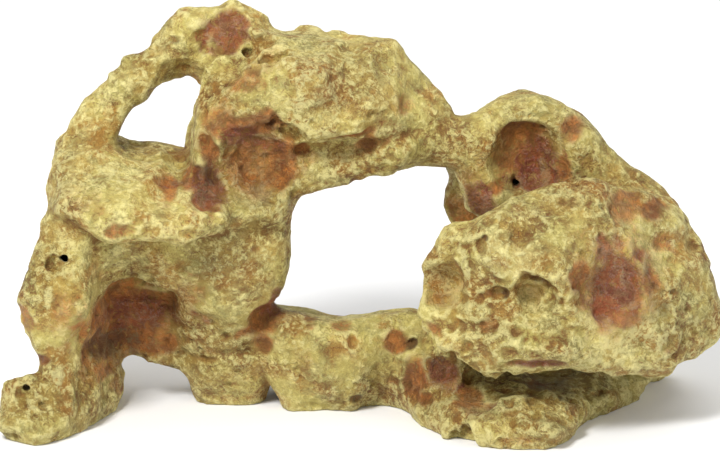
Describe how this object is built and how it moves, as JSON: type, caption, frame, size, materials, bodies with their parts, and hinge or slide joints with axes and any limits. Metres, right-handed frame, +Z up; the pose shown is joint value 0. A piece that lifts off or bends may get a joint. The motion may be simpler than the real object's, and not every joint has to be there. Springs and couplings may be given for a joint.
{
  "type": "resin cave ornament",
  "caption": "Free-standing hollow rock arch for a fish tank, bonded up from cast rocks, with swim-through windows, a cave arch and a covered chamber.",
  "frame": {"origin": "centre of the footprint's bounding box, on the surface the ornament stands on", "axes": "+X along the ornament's length towards the large boulder, +Y towards its back, +Z up"},
  "size_m": [0.3596, 0.1536, 0.2038],
  "materials": {
    "painted_resin": "cast polyresin, painted straw and cream over olive, with ochre, red-brown and violet washes run into the hollows, under a satin sealer"
  },
  "bodies": {
    "root": {"front_boulder": "painted_resin", "left_boulder": "painted_resin", "crest_boulder": "painted_resin", "pocket_rock": "painted_resin", "back_rock": "painted_resin", "right_ledge": "painted_resin", "left_leg": "painted_resin", "window_arch": "painted_resin", "rear_crest": "painted_resin", "bridge_neck": "painted_resin", "centre_pillar": "painted_resin", "lower_bridge": "painted_resin", "rear_pillar": "painted_resin", "cave_wall": "painted_resin"}
  },
  "joints": []
}
